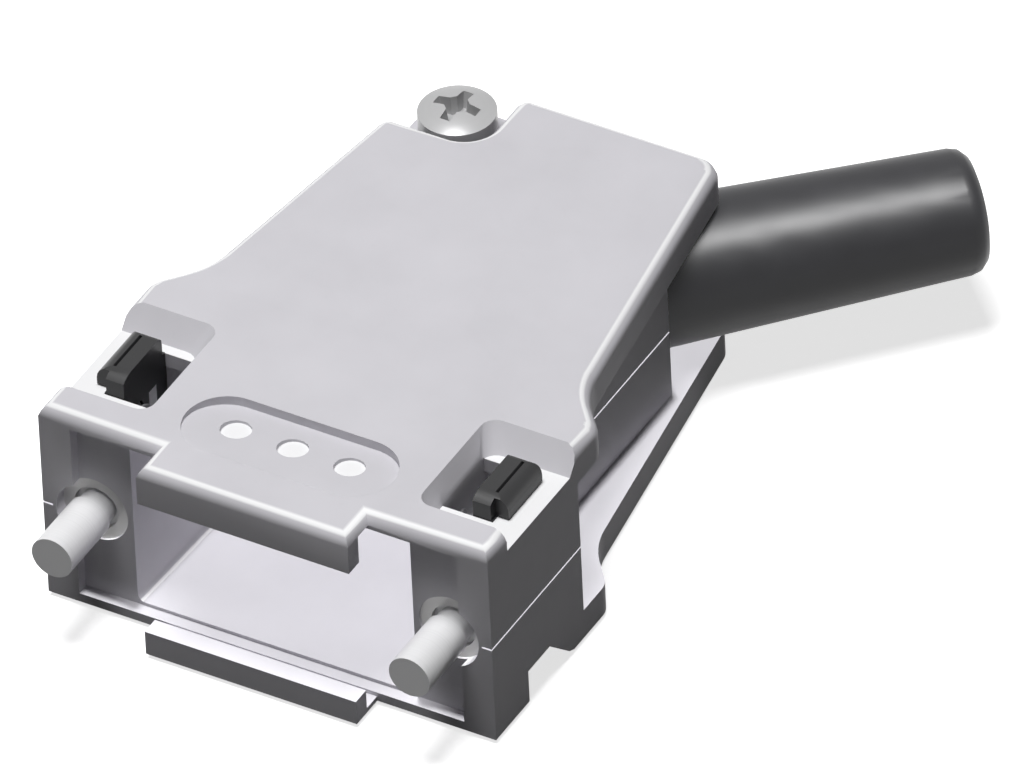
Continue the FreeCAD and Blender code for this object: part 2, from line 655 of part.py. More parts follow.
def saddle(low, high, hole_r):
    """A clamp half, grooved for the sleeve and bored for the two screws."""
    body = box(-CLAMP_HALF, CLAMP_HALF, CLAMP_FROM, CLAMP_TO, low, high)
    body = body.cut(rod(SLEEVE_R, CLAMP_FROM - 1.0, CLAMP_TO + 1.0, 0.0, 0.0))
    middle = (CLAMP_FROM + CLAMP_TO) / 2.0
    for offset in (-CLAMP_SCREW_OFFSET, CLAMP_SCREW_OFFSET):
        body = body.cut(Part.makeCylinder(hole_r, high - low + 2.0, V(offset, middle, low - 1.0)))
    return exit_frame(body.removeSplitter())


def make_clamp_screw(offset):
    middle = (CLAMP_FROM + CLAMP_TO) / 2.0
    seat = CLAMP_UP_H
    shank = Part.makeCylinder(CLAMP_SCREW_R, seat - CLAMP_TIP_Z, V(offset, middle, CLAMP_TIP_Z))
    head = Part.makeCylinder(CLAMP_HEAD_R, CLAMP_HEAD_H, V(offset, middle, seat))
    return exit_frame(shank.fuse(head).removeSplitter())


def build():
    shapes = {
        "top_shell": make_top(),
        "bottom_shell": make_bottom(),
        "cover_screw": make_cover_screw(),
        "bend_relief_boot": make_boot(),
        "cable_ferrule": make_ferrule(),
        "crimp_sleeve": make_sleeve(),
        "clamp_saddle_lower": saddle(-CLAMP_LOW_H, -CLAMP_GAP / 2.0, CLAMP_SCREW_R + CLAMP_CLEAR),
        "clamp_saddle_upper": saddle(CLAMP_GAP / 2.0, CLAMP_UP_H, CLAMP_SCREW_R + CLAMP_CLEAR),
        "clamp_screw_front": make_clamp_screw(-CLAMP_SCREW_OFFSET),
        "clamp_screw_back": make_clamp_screw(CLAMP_SCREW_OFFSET),
    }
    for name, side in SIDES:
        shapes["lock_pin_" + name] = make_pin(side)
        shapes["pin_bush_" + name] = make_bush(side)
        shapes["release_button_" + name] = make_button(side)
        shapes["latch_plate_" + name] = make_plate(side)
        shapes["button_spring_" + name] = make_spring(side)
    return shapes


def main():
    os.makedirs("parts", exist_ok=True)
    for name, shape in build().items():
        solids = len(shape.Solids)
        print(name, "solids", solids, "valid", shape.isValid(), "volume %.2f" % shape.Volume)
        if solids == 1:
            shape = shape.Solids[0]
        shape.exportStep("parts/" + name + ".step")


main()
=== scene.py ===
import math

import bmesh
import bpy
from bpy.props import FloatProperty, FloatVectorProperty, IntProperty, PointerProperty
from mathutils import Matrix, Vector


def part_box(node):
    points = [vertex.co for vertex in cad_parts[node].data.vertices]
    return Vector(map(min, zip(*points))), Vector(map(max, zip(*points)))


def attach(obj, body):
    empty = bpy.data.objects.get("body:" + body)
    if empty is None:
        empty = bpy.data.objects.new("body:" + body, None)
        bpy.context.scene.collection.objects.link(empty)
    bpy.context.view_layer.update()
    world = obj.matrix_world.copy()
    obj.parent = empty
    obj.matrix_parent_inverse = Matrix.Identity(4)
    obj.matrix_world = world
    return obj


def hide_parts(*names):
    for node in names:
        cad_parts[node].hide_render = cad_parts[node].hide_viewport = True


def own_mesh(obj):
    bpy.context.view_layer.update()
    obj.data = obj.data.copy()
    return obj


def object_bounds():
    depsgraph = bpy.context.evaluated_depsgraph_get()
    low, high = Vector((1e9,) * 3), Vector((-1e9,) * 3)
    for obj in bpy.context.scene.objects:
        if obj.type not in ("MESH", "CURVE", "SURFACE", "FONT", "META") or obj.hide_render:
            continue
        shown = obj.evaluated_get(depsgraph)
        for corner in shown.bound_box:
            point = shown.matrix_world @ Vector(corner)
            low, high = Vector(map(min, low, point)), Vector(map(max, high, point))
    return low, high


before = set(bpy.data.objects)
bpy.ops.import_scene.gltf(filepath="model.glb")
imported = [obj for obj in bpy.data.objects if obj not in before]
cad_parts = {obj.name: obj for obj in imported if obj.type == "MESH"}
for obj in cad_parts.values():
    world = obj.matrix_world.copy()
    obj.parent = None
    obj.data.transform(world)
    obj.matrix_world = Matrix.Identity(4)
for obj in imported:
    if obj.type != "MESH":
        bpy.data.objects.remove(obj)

bl_info = {
    "name": "Angled connector hood",
    "version": (1, 0, 0),
    "blender": (4, 5, 0),
    "location": "View3D > Sidebar > Hood",
    "description": "Dresses the packed hood with finishes, turned details and a studio",
    "category": "Add Mesh",
}

MM = 0.001
CAD_BOX = [list(corner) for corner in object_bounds()]
SIDES = {"left": -1.0, "right": 1.0}

# Shading: patches closer than this are joined, and edges steeper than the angle stay sharp
JOIN_DISTANCE = 0.001 * MM
SMOOTH_ANGLE = math.radians(32.0)
SCREW_SMOOTH_ANGLE = math.radians(28.0)
SPRING_SMOOTH_ANGLE = math.radians(50.0)
FLAT_FACE_WEIGHT = 80

# Cover screw: tip and head chamfers, the bare shank under the head and the crest of a thread turn
TIP_CHAMFER = 0.3 * MM
TIP_SHARE = 0.7
HEAD_CHAMFER = 0.12 * MM
BARE_SHANK = 1.0 * MM
THREAD_CREST = (0.45, 0.55)
DOME_STEPS = 14
RECESS_FOOT = 0.75
RECESS_FOOT_WIDTH = 0.7
RECESS_OVER = 0.2 * MM

# Button springs: facets along a turn and round the wire
SPRING_TURN_STEPS = 28
WIRE_STEPS = 10

# Floor: half its side, how far it lies below the part, and its grey
FLOOR_HALF = 4.0
FLOOR_GAP = 0.02 * MM
FLOOR_SHADE = 0.9

# The lamps look here, each from its place and as wide and deep as its size
STUDIO_MIDDLE = (0.004, 0.02, 0.0)
KEY_PLACE, KEY_SIZE = (-0.02, -0.03, 0.50), (0.22, 0.22)
FILL_PLACE, FILL_SIZE = (-0.35, -0.45, 0.25), (0.35, 0.35)
UNDER_PLACE, UNDER_SIZE = (-0.03, 0.06, 0.50), (0.06, 0.06)
SHEEN_PLACE, SHEEN_SIZE = (0.13, 0.02, 0.50), (0.16, 0.30)

# Casting: how steeply a rounded edge faces up where it gets a painted highlight, and how level a face is that gets
# the painted highlight on the dimples and ledges
EDGE_HIGHLIGHT_STOPS = ((0.0, 0.0), (0.74, 0.0), (0.84, 1.0), (0.94, 1.0), (0.985, 0.0))
LEVEL = 0.998
# The dimples and the pockets' ledges lie between these heights, and their level faces get a painted highlight
PRESSED_HEIGHTS = (5.5 * MM, 6.95 * MM)

# The photograph's viewpoint: a long lens, looking at a point above the cover
LOOK_AT = Vector((9.616, 13.929, 8.402)) * MM
VIEW_AZIMUTH = math.radians(31.253)
VIEW_ELEVATION = math.radians(39.343)
VIEW_ROLL = math.radians(-2.832)


def length(name, default, description):
    """A size in metres given in millimetres."""
    return FloatProperty(name=name, default=default * MM, unit="LENGTH", precision=5, description=description)


def colour(name, default, description):
    """A colour in linear light."""
    return FloatVectorProperty(name=name, default=default, subtype="COLOR", min=0.0, max=1.0, description=description)


def ratio(name, default, description):
    """A number between nought and one."""
    return FloatProperty(name=name, default=default, subtype="FACTOR", min=0.0, max=1.0, description=description)


def watts(name, default, description):
    """A lamp's power."""
    return FloatProperty(name=name, default=default, unit="POWER", min=0.0, description=description)


class HoodFinish(bpy.types.PropertyGroup):
    """Colours and roughness of the hood's finishes."""

    casting: colour("Casting", (0.63, 0.62, 0.655), "Nickel-plated die casting")
    # Painted highlight: this near-white colour goes on the rounded edges that tilt up, in place of light
    casting_edge_highlight: colour("Casting edge", (0.95, 0.95, 0.96), "Burnished rounded edges of the casting")
    # Painted highlight: this lighter colour goes on the level dimples and pocket ledges, in place of light
    casting_flat_highlight: colour("Casting polish", (0.88, 0.88, 0.89), "Pressed dimples and pocket ledges of the casting")
    casting_roughness: ratio("Casting roughness", 0.4, "Gloss of the casting")
    casting_metal: ratio("Casting metal", 0.01, "Share of metal in the casting's look")
    steel: colour("Steel", (0.90, 0.90, 0.91), "Nickel-plated steel")
    steel_roughness: ratio("Steel roughness", 0.3, "Gloss of the steel parts")
    steel_metal: ratio("Steel metal", 0.04, "Share of metal in the steel's look")
    screw: colour("Screw", (0.52, 0.52, 0.525), "Head of the cover screw")
    screw_metal: ratio("Screw metal", 0.2, "Share of metal in the screw's look")
    bush: colour("Bush", (0.80, 0.795, 0.79), "Nickel-plated turned brass")
    bush_roughness: ratio("Bush roughness", 0.36, "Gloss of bushes and ferrule")
    bush_metal: ratio("Bush metal", 0.1, "Share of metal in the bushes' look")
    spring: colour("Spring", (0.25, 0.25, 0.26), "Drawn spring wire")
    spring_roughness: ratio("Spring roughness", 0.3, "Gloss of the spring wire")
    spring_metal: ratio("Spring metal", 0.4, "Share of metal in the wire's look")
    plastic: colour("Plastic", (0.012, 0.012, 0.013), "Moulded buttons")
    plastic_roughness: ratio("Plastic roughness", 0.38, "Gloss of the buttons")
    rubber: colour("Rubber", (0.008, 0.008, 0.009), "Moulded boot")
    rubber_roughness: ratio("Rubber roughness", 0.42, "Gloss of the boot")


class HoodSizes(bpy.types.PropertyGroup):
    """Sizes of the details that are finer than the solids."""

    head_height: length("Head height", 1.75, "Height of the cover screw's head over its seat")
    head_rim: length("Head rim", 1.2, "Height of the head's straight rim")
    shank_radius: length("Shank radius", 1.25, "Radius of the cover screw's shank")
    recess_reach: length("Recess reach", 1.6, "From the screw's axis to the end of a recess arm")
    recess_width: length("Recess width", 0.78, "Width of a recess arm at the head's surface")
    recess_depth: length("Recess depth", 1.5, "Depth of the cross recess")
    recess_web: length("Recess web", 0.34, "How far the corners between the arms are broken")
    thread_pitch: length("Thread pitch", 0.45, "Pitch of the cover screw's thread")
    thread_depth: length("Thread depth", 0.24, "Depth of the cover screw's thread")
    wire_radius: length("Wire radius", 0.11, "Radius of the spring wire")
    spring_turns: FloatProperty(name="Spring turns", default=5.0, description="Open turns of a button spring")
    round_steps: IntProperty(name="Steps round", default=96, description="Segments of a turned surface")


class HoodStudio(bpy.types.PropertyGroup):
    """Camera distance and the strength of the studio's light."""

    camera_distance: FloatProperty(name="Camera distance", default=2.0, unit="LENGTH",
                                   description="From the point looked at")
    view_width: length("View width", 62.164, "Width of the picture at the point looked at")
    key_power: watts("Key", 2.5, "Power of the lamp above")
    fill_power: watts("Fill", 0.05, "Power of the lamp in front on the left")
    under_power: watts("Under light", 2.5, "Power of the lamp for the lower shell")
    sheen_power: watts("Sheen", 8.0, "Power of the lamp for the boot's gloss")
    ambient: ratio("Ambient", 0.03, "Light from the world on the object")
    floor_bounce: ratio("Floor bounce", 0.05, "Light that the floor throws back")
    floor_glow: ratio("Floor glow", 0.72, "How white the floor looks by itself")


class Sock:
    """A node socket that takes part in Python arithmetic by adding Math nodes."""

    def __init__(self, look, socket):
        self.look = look
        self.socket = socket

    def _math(self, operation, *values):
        return self.look.node("ShaderNodeMath", {"operation": operation}, dict(enumerate(values)))

    def __add__(self, other):
        return self._math("ADD", self, other)

    def __radd__(self, other):
        return self._math("ADD", other, self)

    def __sub__(self, other):
        return self._math("SUBTRACT", self, other)

    def __rsub__(self, other):
        return self._math("SUBTRACT", other, self)

    def __mul__(self, other):
        return self._math("MULTIPLY", self, other)

    def __rmul__(self, other):
        return self._math("MULTIPLY", other, self)

    def __lt__(self, other):
        return self._math("LESS_THAN", self, other)

    def __gt__(self, other):
        return self._math("GREATER_THAN", self, other)


class Look:
    """A node tree that is filled by calls of one method."""

    def __init__(self, tree):
        self.tree = tree
        tree.nodes.clear()

    def node(self, kind, settings=None, sockets=None, out=0):
        """Adds a node: its settings first, then the values or links of its sockets."""
        made = self.tree.nodes.new(kind)
        for name, value in (settings or {}).items():
            if name == "stops":
                self._stops(made.color_ramp, value)
            else:
                setattr(made, name, value)
        for name, value in (sockets or {}).items():
            if isinstance(value, Sock):
                self.tree.links.new(value.socket, made.inputs[name])
            else:
                made.inputs[name].default_value = value
        return Sock(self, made.outputs[out]) if len(made.outputs) else None

    @staticmethod
    def _stops(ramp, stops):
        while len(ramp.elements) < len(stops):
            ramp.elements.new(1.0)
        for element, (position, grey) in zip(ramp.elements, stops):
            element.position = position
            element.color = (grey, grey, grey, 1.0)

    def place(self):
        """The spot on the piece, in metres."""
        return self.node("ShaderNodeTexCoord", out="Object")

    def facing(self):
        """The way that the surface faces on the piece."""
        return self.node("ShaderNodeTexCoord", out="Normal")

    def stretched(self, vector, scale):
        return self.node("ShaderNodeVectorMath", {"operation": "MULTIPLY"}, {0: vector, 1: scale})

    def noise(self, vector, scale, detail=3.0, roughness=0.5):
        sockets = {"Vector": vector, "Scale": scale, "Detail": detail, "Roughness": roughness}
        return self.node("ShaderNodeTexNoise", None, sockets, out="Fac")

    def ramp(self, factor, stops):
        return self.node("ShaderNodeValToRGB", {"stops": stops}, {"Fac": factor})

    def mix(self, factor, first, second):
        return self.node("ShaderNodeMix", {"data_type": "RGBA"}, {0: factor, 6: first, 7: second}, out=2)

    def bump(self, height, strength, distance):
        sockets = {"Height": height, "Strength": strength, "Distance": distance}
        return self.node("ShaderNodeBump", None, sockets)


def solid(rgb, scale=1.0):
    """An opaque colour for a socket."""
    return tuple(channel * scale for channel in rgb) + (1.0,)


def surface(name, build):
    """A material whose Principled sockets come from build(look)."""
    material = bpy.data.materials.new(name)
    material.use_nodes = True
    look = Look(material.node_tree)
    shader = look.node("ShaderNodeBsdfPrincipled", None, build(look))
    look.node("ShaderNodeOutputMaterial", None, {"Surface": shader})
    return material


def cast_nickel(name):
    """Satin plated casting: fine grain, faint clouding, duller flecks, a painted highlight on the rounded edges that
    tilt up and a painted highlight on the level dimples and ledges.
    """
    finish = bpy.context.scene.hood_finish

    def build(look):
        place = look.place()
        grain = look.noise(place, 5200.0, 4.0, 0.6)
        cloud = look.noise(place, 160.0, 3.0)
        fleck = look.ramp(look.noise(place, 2100.0, 2.0), ((0.0, 0.0), (0.62, 0.0), (0.78, 1.0)))
        tone = look.mix(look.ramp(cloud, ((0.3, 0.0), (0.7, 1.0))), solid(finish.casting, 0.965),
                        solid(finish.casting, 1.03))
        tone = look.mix(fleck * 0.05, tone, solid(finish.casting, 0.7))
        upward = look.node("ShaderNodeSeparateXYZ", None, {0: look.facing()}, out="Z")
        # Painted highlight: the rounded edges that tilt up are mixed towards a near-white colour
        edge = look.ramp(upward, EDGE_HIGHLIGHT_STOPS)
        tone = look.mix(edge, tone, solid(finish.casting_edge_highlight))
        height = look.node("ShaderNodeSeparateXYZ", None, {0: place}, out="Z")
        # Painted highlight: level faces at the dimples' and ledges' heights are mixed towards a lighter colour
        painted_flat_highlight = (upward > LEVEL) * (height > PRESSED_HEIGHTS[0]) * (height < PRESSED_HEIGHTS[1])
        tone = look.mix(painted_flat_highlight, tone, solid(finish.casting_flat_highlight))
        return {
            "Base Color": tone,
            "Metallic": finish.casting_metal,
            "Roughness": finish.casting_roughness + 0.08 * (cloud - 0.5) + 0.05 * fleck,
            "Normal": look.bump(grain, 0.12, 0.00001),
            "Specular IOR Level": 0.03,
        }

    return surface(name, build)


def turned(name, rgb, roughness, metallic, rings, axis):
    """Turned and plated metal with fine tool rings across the axis x, y or z."""

    def build(look):
        place = look.place()
        along = look.stretched(place, tuple(rings if letter == axis else 0.0 for letter in "xyz"))
        ring = look.noise(along, 1.0, 2.0)
        cloud = look.noise(place, 600.0, 2.0)
        return {
            "Base Color": look.mix(look.ramp(ring, ((0.3, 0.0), (0.7, 1.0))), solid(rgb, 0.93), solid(rgb)),
            "Metallic": metallic,
            "Roughness": roughness + 0.08 * (ring - 0.5) + 0.06 * (cloud - 0.5),
            "Normal": look.bump(ring, 0.1, 0.000006),
            "Specular IOR Level": 0.15,
        }

    return surface(name, build)


def moulded(name, rgb, roughness, grain_scale, grain, specular):
    """Black moulding with a fine spark-eroded grain."""

    def build(look):
        place = look.place()
        pits = look.noise(place, grain_scale, 3.0, 0.65)
        cloud = look.noise(place, 350.0, 2.0)
        return {
            "Base Color": look.mix(cloud, solid(rgb, 0.85), solid(rgb, 1.25)),
            "Roughness": roughness + 0.1 * (cloud - 0.5),
            "Normal": look.bump(pits, grain, 0.00001),
            "Specular IOR Level": specular,
        }

    return surface(name, build)


def shared(name, maker, *values):
    """The material of that name, made on first use."""
    return bpy.data.materials.get(name) or maker(name, *values)


def steel_look(axis):
    """Plated steel with its tool rings across the axis x, y or z."""
    finish = bpy.context.scene.hood_finish
    name = "plated_steel_" + axis
    return shared(name, turned, finish.steel, finish.steel_roughness, finish.steel_metal, 9000.0, axis)


def screw_look():
    """The cover screw's duller plating."""
    finish = bpy.context.scene.hood_finish
    return shared("plated_screw", turned, finish.screw, finish.steel_roughness, finish.screw_metal, 3000.0, "z")


def bush_look(name, axis):
    """Plated brass with its tool rings across the axis."""
    finish = bpy.context.scene.hood_finish
    return shared(name, turned, finish.bush, finish.bush_roughness, finish.bush_metal, 7000.0, axis)


def paint(obj, material):
    """Gives the object one material."""
    obj.data.materials.clear()
    obj.data.materials.append(material)
    for polygon in obj.data.polygons:
        polygon.material_index = 0


def smoothing(angle):
    """A node group that joins the mesh's patches and keeps only steeper edges sharp."""
    name = "smooth_below_%d" % round(math.degrees(angle))
    found = bpy.data.node_groups.get(name)
    if found:
        return found
    tree = bpy.data.node_groups.new(name, "GeometryNodeTree")
    tree.is_modifier = True
    for way in ("INPUT", "OUTPUT"):
        tree.interface.new_socket("Geometry", in_out=way, socket_type="NodeSocketGeometry")
    look = Look(tree)
    joined = look.node("GeometryNodeMergeByDistance", None,
                       {"Geometry": look.node("NodeGroupInput"), "Distance": JOIN_DISTANCE})
    steep = look.node("FunctionNodeCompare", {"data_type": "FLOAT", "operation": "GREATER_THAN"},
                      {0: look.node("GeometryNodeInputMeshEdgeAngle"), 1: angle})
    smooth = look.node("GeometryNodeSetShadeSmooth", {"domain": "FACE"}, {"Geometry": joined, "Shade Smooth": True})
    creased = look.node("GeometryNodeSetShadeSmooth", {"domain": "EDGE"},
                        {"Geometry": smooth, "Selection": steep, "Shade Smooth": False})
    look.node("NodeGroupOutput", None, {0: creased})
    return tree


def shade(obj, angle=SMOOTH_ANGLE):
    """Smooth shading across shallow edges, with the large faces kept flat."""
    obj.modifiers.new("smooth", "NODES").node_group = smoothing(angle)
    weighted = obj.modifiers.new("even_normals", "WEIGHTED_NORMAL")
    weighted.keep_sharp = True
    weighted.weight = FLAT_FACE_WEIGHT


def dress(names, material):
    """Finishes the CAD nodes of those names."""
    for name in names:
        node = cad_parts[name]
        paint(node, material)
        shade(node)


def piece(name, mesh, material, body, node):
    """A new object that stands for the CAD node and rides on its body."""
    mesh.normal_update()
    data = bpy.data.meshes.new(name)
    mesh.to_mesh(data)
    mesh.free()
    obj = bpy.data.objects.new(name, data)
    bpy.context.scene.collection.objects.link(obj)
    paint(obj, material)
    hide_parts(node)
    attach(obj, body)
    return obj


def lathe(mesh, profile, steps, base):
    """Adds a surface turned about base's upright; a radius of nought in the (radius, height) profile closes it."""
    rings = []
    for radius, height in profile:
        if radius <= 0.0:
            rings.append([mesh.verts.new(base + Vector((0, 0, height)))])
            continue
        ring = []
        for step in range(steps):
            angle = math.tau * step / steps
            spot = Vector((radius * math.cos(angle), radius * math.sin(angle), height))
            ring.append(mesh.verts.new(base + spot))
        rings.append(ring)
    for low, high in zip(rings, rings[1:]):
        for step in range(steps):
            after = (step + 1) % steps
            corners = [low[step % len(low)], low[after % len(low)], high[after % len(high)], high[step % len(high)]]
            unique = []
            for corner in corners:
                if corner not in unique:
                    unique.append(corner)
            if len(unique) > 2:
                mesh.faces.new(unique)


def wire(points, radius, steps):
    """A round wire along points, with its ends capped."""
    mesh = bmesh.new()
    rings = []
    count = len(points)
    for index, point in enumerate(points):
        ahead = (points[min(index + 1, count - 1)] - points[max(index - 1, 0)]).normalized()
        side = ahead.cross(Vector((1, 0, 0))).normalized()
        up = side.cross(ahead)
        ring = []
        for step in range(steps):
            angle = math.tau * step / steps
            offset = side * math.cos(angle) + up * math.sin(angle)
            ring.append(mesh.verts.new(point + offset * radius))
        rings.append(ring)
    for low, high in zip(rings, rings[1:]):
        for step in range(steps):
            after = (step + 1) % steps
            mesh.faces.new((low[step], low[after], high[after], high[step]))
    mesh.faces.new(list(reversed(rings[0])))
    mesh.faces.new(rings[-1])
    return mesh


class HOOD_OT_castings(bpy.types.Operator):
    """Finish the two shells and the cable clamp as plated castings"""

    bl_idname = "hood.castings"
    bl_label = "Castings"

    def execute(self, context):
        names = ("top_shell", "bottom_shell", "clamp_saddle_lower", "clamp_saddle_upper")
        dress(names, shared("plated_zinc_casting", cast_nickel))
        return {"FINISHED"}


class HOOD_OT_latch_metal(bpy.types.Operator):
    """Finish the lock pins, their bushes, the latch plates and the clamp's screws"""

    bl_idname = "hood.latch_metal"
    bl_label = "Pins and latch metal"

    def execute(self, context):
        for side in SIDES:
            dress(["lock_pin_" + side], steel_look("y"))
            dress(["pin_bush_" + side], bush_look("plated_bush", "y"))
            dress(["latch_plate_" + side], steel_look("z"))
        dress(["clamp_screw_front", "clamp_screw_back"], steel_look("z"))
        return {"FINISHED"}


def cross_cutter(centre, top, sizes):
    """A tapered cross that is sunk into the screw's head."""
    mesh = bmesh.new()
    rings = []
    foot = (RECESS_FOOT, RECESS_FOOT_WIDTH, -sizes.recess_depth)
    for share, narrowing, height in ((1.0, 1.0, 0.0), foot):
        reach = sizes.recess_reach * share
        half = sizes.recess_width / 2.0 * narrowing
        corner = half + sizes.recess_web * share
        ring = []
        for quarter in range(4):
            turn = Matrix.Rotation(quarter * math.pi / 2.0, 3, "Z")
            for x, y in ((reach, -half), (reach, half), (corner, half), (half, corner)):
                ring.append(mesh.verts.new(centre + turn @ Vector((x, y, 0)) + Vector((0, 0, top + height))))
        rings.append(ring)
    count = len(rings[0])
    for step in range(count):
        after = (step + 1) % count
        mesh.faces.new((rings[0][step], rings[0][after], rings[1][after], rings[1][step]))
    mesh.faces.new(rings[0])
    mesh.faces.new(rings[1])
    bmesh.ops.recalc_face_normals(mesh, faces=mesh.faces)
    return mesh


class HOOD_OT_cover_screw(bpy.types.Operator):
    """Build the cover screw with a domed head, a cross recess and a threaded shank"""

    bl_idname = "hood.cover_screw"
    bl_label = "Cover screw"

    def execute(self, context):
        sizes = context.scene.hood_sizes
        low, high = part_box("cover_screw")
        centre = Vector(((low.x + high.x) / 2.0, (low.y + high.y) / 2.0, 0.0))
        head_r = (high.x - low.x) / 2.0
        seat = high.z - sizes.head_height
        rim = seat + sizes.head_rim
        rise = high.z - rim
        dome_r = (head_r ** 2 + rise ** 2) / (2.0 * rise)
        spread = math.asin(head_r / dome_r)
        shank_r = sizes.shank_radius
        root_r = shank_r - sizes.thread_depth
        height = low.z + TIP_CHAMFER
        profile = [(0.0, low.z), (shank_r * TIP_SHARE, low.z), (root_r, height)]
        while height + sizes.thread_pitch < seat - BARE_SHANK:
            profile += [(shank_r, height + sizes.thread_pitch * share) for share in THREAD_CREST]
            height += sizes.thread_pitch
            profile.append((root_r, height))
        profile += [(shank_r, height + TIP_CHAMFER), (shank_r, seat), (head_r - HEAD_CHAMFER, seat),
                    (head_r, seat + HEAD_CHAMFER)]
        for step in range(DOME_STEPS):
            angle = spread * (1.0 - step / DOME_STEPS)
            profile.append((dome_r * math.sin(angle), high.z - dome_r * (1.0 - math.cos(angle))))
        profile.append((0.0, high.z))
        mesh = bmesh.new()
        lathe(mesh, profile, sizes.round_steps, centre)
        bmesh.ops.recalc_face_normals(mesh, faces=mesh.faces)
        screw = piece("cover_screw_fine", mesh, screw_look(), "hood", "cover_screw")
        tool = bpy.data.meshes.new("cross_tool")
        cutter = cross_cutter(centre, high.z + RECESS_OVER, sizes)
        cutter.to_mesh(tool)
        cutter.free()
        tool_obj = bpy.data.objects.new("cross_tool", tool)
        context.scene.collection.objects.link(tool_obj)
        cut = screw.modifiers.new("recess", "BOOLEAN")
        cut.operation = "DIFFERENCE"
        cut.solver = "EXACT"
        cut.object = tool_obj
        context.view_layer.update()
        graph = context.evaluated_depsgraph_get()
        final = bpy.data.meshes.new_from_object(screw.evaluated_get(graph))
        screw.modifiers.clear()
        screw.data = final
        bpy.data.objects.remove(tool_obj)
        shade(screw, SCREW_SMOOTH_ANGLE)
        return {"FINISHED"}


class HOOD_OT_buttons(bpy.types.Operator):
    """Finish the two release buttons as grained black mouldings"""

    bl_idname = "hood.buttons"
    bl_label = "Release buttons"

    def execute(self, context):
        finish = context.scene.hood_finish
        material = shared("black_moulding", moulded, finish.plastic, finish.plastic_roughness, 9000.0, 0.12, 0.45)
        dress(["release_button_" + side for side in SIDES], material)
        return {"FINISHED"}


class HOOD_OT_springs(bpy.types.Operator):
    """Wind the two button springs"""

    bl_idname = "hood.springs"
    bl_label = "Button springs"

    def execute(self, context):
        sizes = context.scene.hood_sizes
        finish = context.scene.hood_finish
        material = shared("spring_wire", turned, finish.spring, finish.spring_roughness, finish.spring_metal,
                          5000.0, "x")
        for side, sign in SIDES.items():
            node = "button_spring_" + side
            low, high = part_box(node)
            middle = (low + high) / 2.0
            coil_r = (high.z - low.z) / 2.0 - sizes.wire_radius
            wall = min(abs(low.x), abs(high.x))
            reach = high.x - low.x - 2.0 * sizes.wire_radius
            count = int(sizes.spring_turns * SPRING_TURN_STEPS)
            points = []
            for step in range(count + 1):
                angle = math.tau * sizes.spring_turns * step / count
                along = sign * (wall + sizes.wire_radius + reach * step / count)
                across = middle.y + coil_r * math.cos(angle)
                points.append(Vector((along, across, middle.z + coil_r * math.sin(angle))))
            mesh = wire(points, sizes.wire_radius, WIRE_STEPS)
            bmesh.ops.recalc_face_normals(mesh, faces=mesh.faces)
            spring = piece(node + "_fine", mesh, material, "hood", node)
            shade(spring, SPRING_SMOOTH_ANGLE)
            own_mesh(spring)
        return {"FINISHED"}


class HOOD_OT_boot(bpy.types.Operator):
    """Finish the bend-relief boot as soft black rubber"""

    bl_idname = "hood.boot"
    bl_label = "Bend-relief boot"

    def execute(self, context):
        finish = context.scene.hood_finish
        material = shared("black_rubber_skin", moulded, finish.rubber, finish.rubber_roughness, 6000.0, 0.05, 0.25)
        dress(["bend_relief_boot"], material)
        return {"FINISHED"}


class HOOD_OT_cable_parts(bpy.types.Operator):
    """Finish the ferrule and the crimp sleeve inside the hood"""

    bl_idname = "hood.cable_parts"
    bl_label = "Ferrule and sleeve"

    def execute(self, context):
        dress(["cable_ferrule", "crimp_sleeve"], bush_look("plated_ferrule", "z"))
        return {"FINISHED"}


def lamp(name, place, size, power, nodes=(), alone=False):
    """A soft lamp; with nodes it lights only those, and alone keeps other pieces from shading them."""
    data = bpy.data.lights.new(name, "AREA")
    data.shape = "ELLIPSE"
    data.size, data.size_y = size
    data.energy = power
    obj = bpy.data.objects.new(name, data)
    bpy.context.scene.collection.objects.link(obj)
    obj.location = place
    obj.rotation_mode = "QUATERNION"
    obj.rotation_quaternion = (Vector(STUDIO_MIDDLE) - Vector(place)).to_track_quat("-Z", "Y")
    if nodes:
        lit = bpy.data.collections.new(name + "_lit")
        for node in nodes:
            lit.objects.link(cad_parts[node])
        obj.light_linking.receiver_collection = lit
        if alone:
            obj.light_linking.blocker_collection = lit


def seen_or_mirrored(look):
    """1 for what the camera sees, also in a reflection or through glass."""
    camera = look.node("ShaderNodeLightPath", out="Is Camera Ray")
    glossy = look.node("ShaderNodeLightPath", out="Is Glossy Ray")
    through = look.node("ShaderNodeLightPath", out="Is Transmission Ray")
    total = camera + glossy + through
    return look.node("ShaderNodeMath", {"operation": "MINIMUM"}, {0: total, 1: 1.0})


